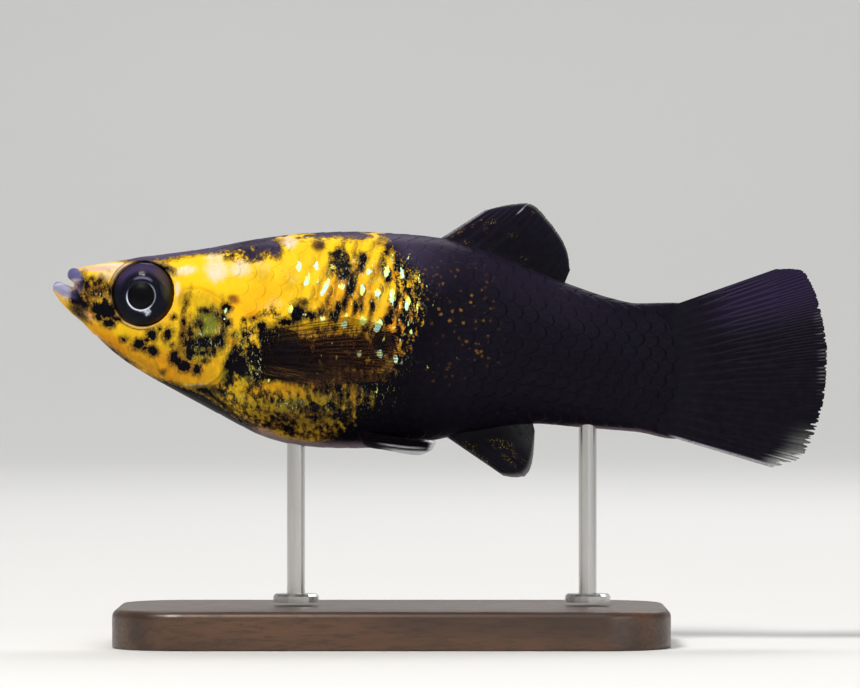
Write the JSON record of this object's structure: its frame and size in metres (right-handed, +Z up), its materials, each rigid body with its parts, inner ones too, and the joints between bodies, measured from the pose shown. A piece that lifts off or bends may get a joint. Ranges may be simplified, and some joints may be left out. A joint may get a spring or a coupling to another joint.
{
  "type": "gold dust tuxedo molly on a display stand",
  "caption": "Life-size still model of a small live-bearing fish with gold foreparts and black rear, held level by two rods on a low oblong base.",
  "frame": {"origin": "on the floor, under the middle of the fish's length and the middle of its thickness", "axes": "+X towards the tail, +Y towards the fish's right flank, +Z up; the fish faces -X"},
  "size_m": [0.0644, 0.024, 0.0367],
  "materials": {
    "gold_skin": "moist scaled skin, golden yellow with black spots",
    "black_skin": "moist scaled skin, black with a purple sheen and gold flecks in front",
    "lip_skin": "moist bluish purple skin",
    "eye_surface": "wet clear cornea over a blue-black iris and black pupil",
    "black_fin": "thin black fin skin between fine rays",
    "clear_fin": "thin half-clear brown fin skin between fine rays",
    "rod_steel": "turned and polished",
    "base_wood": "dark stained, satin varnish"
  },
  "bodies": {
    "root": {"head": "gold_skin", "lower_jaw": "gold_skin", "upper_lip": "lip_skin", "eye_left": "eye_surface", "eye_right": "eye_surface", "gill_cover_left": "gold_skin", "gill_cover_right": "gold_skin", "trunk": "black_skin", "tail_stalk": "black_skin", "fin_tail": "black_fin", "fin_dorsal": "black_fin", "fin_anal": "black_fin", "fin_pectoral_left": "clear_fin", "fin_pectoral_right": "clear_fin", "fin_pelvic_left": "clear_fin", "fin_pelvic_right": "clear_fin", "stand_rod_front": "rod_steel", "stand_rod_rear": "rod_steel", "stand_base": "base_wood"}
  },
  "joints": []
}
